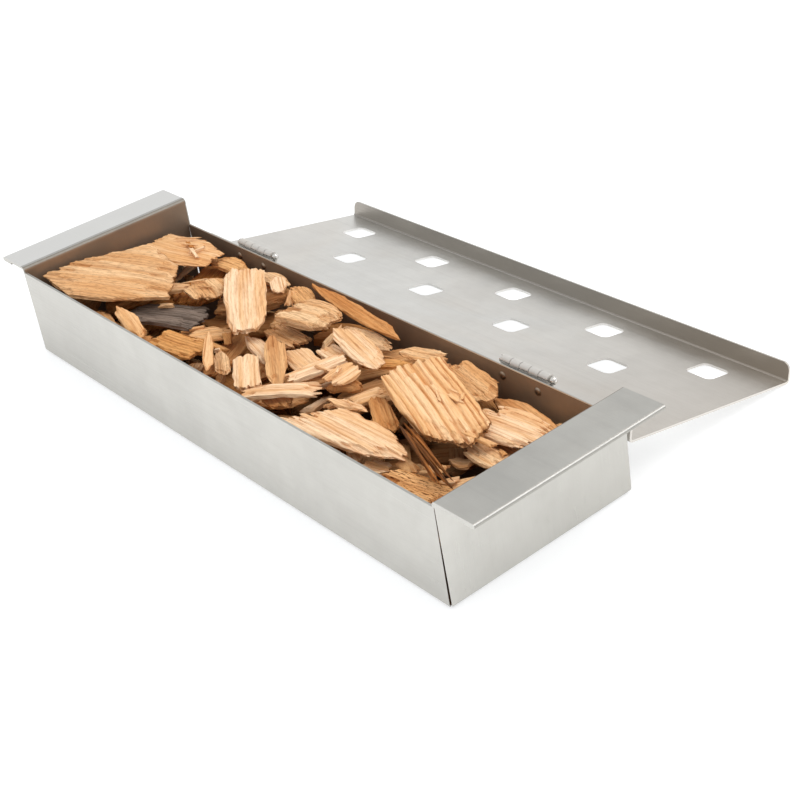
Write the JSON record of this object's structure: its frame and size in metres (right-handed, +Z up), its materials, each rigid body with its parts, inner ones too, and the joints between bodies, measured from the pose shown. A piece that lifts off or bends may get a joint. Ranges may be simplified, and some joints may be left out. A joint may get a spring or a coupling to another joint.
{
  "type": "grill smoker box",
  "caption": "Long folded stainless smoker box with handle flanges, a perforated lid on pin hinges, and wood chips inside.",
  "frame": {"origin": "centre of the tray's flat underside", "axes": "+X along the tray towards the hinge pins' ball heads, +Y to the hinge side and the open lid, +Z up"},
  "size_m": [0.33, 0.1841, 0.0445],
  "materials": {
    "tray_sheet": "brushed along the walls",
    "lid_sheet": "brushed along the lid",
    "hinge_leaf": "satin, faintly tarnished",
    "hinge_pin": "polished ball head",
    "rivet": "satin domes",
    "pale_wood": "dry, torn along the grain",
    "golden_wood": "dry, torn along the grain",
    "orange_wood": "dry, torn along the grain",
    "ridged_wood": "deep ridges along the grain",
    "dark_wood": "dry and fibrous",
    "bark": "rough grey bark"
  },
  "bodies": {
    "tray": {"tray": "tray_sheet", "left_hinge_tray_leaf": "hinge_leaf", "right_hinge_tray_leaf": "hinge_leaf", "left_hinge_pin": "hinge_pin", "right_hinge_pin": "hinge_pin", "tray_rivets": "rivet", "left_flat_chip": "pale_wood", "jagged_chip": "pale_wood", "curved_edge_chip": "pale_wood", "rounded_chip": "pale_wood", "long_front_stick": "pale_wood", "upper_chips": "pale_wood", "small_splinters": "pale_wood", "short_grain_chip": "golden_wood", "long_slab_chip": "golden_wood", "bright_block_chip": "golden_wood", "cube_end_chip": "golden_wood", "back_flat_chip": "golden_wood", "middle_chips": "golden_wood", "orange_flat_chip": "orange_wood", "back_strip_chip": "orange_wood", "tucked_chip": "orange_wood", "standing_chip": "orange_wood", "lower_chips": "orange_wood", "bottom_chips": "orange_wood", "ridged_chip": "ridged_wood", "dark_splinter": "dark_wood", "bark_piece": "bark"},
    "lid": {"lid": "lid_sheet", "left_hinge_lid_leaf": "hinge_leaf", "right_hinge_lid_leaf": "hinge_leaf", "lid_rivets": "rivet"}
  },
  "joints": [
    {"name": "lid_hinge", "type": "hinge", "parent": "tray", "child": "lid", "pos_m": [0, 0.0478, 0.0308], "axis": [1, 0, 0], "range_deg": [0, 191.59]}
  ]
}
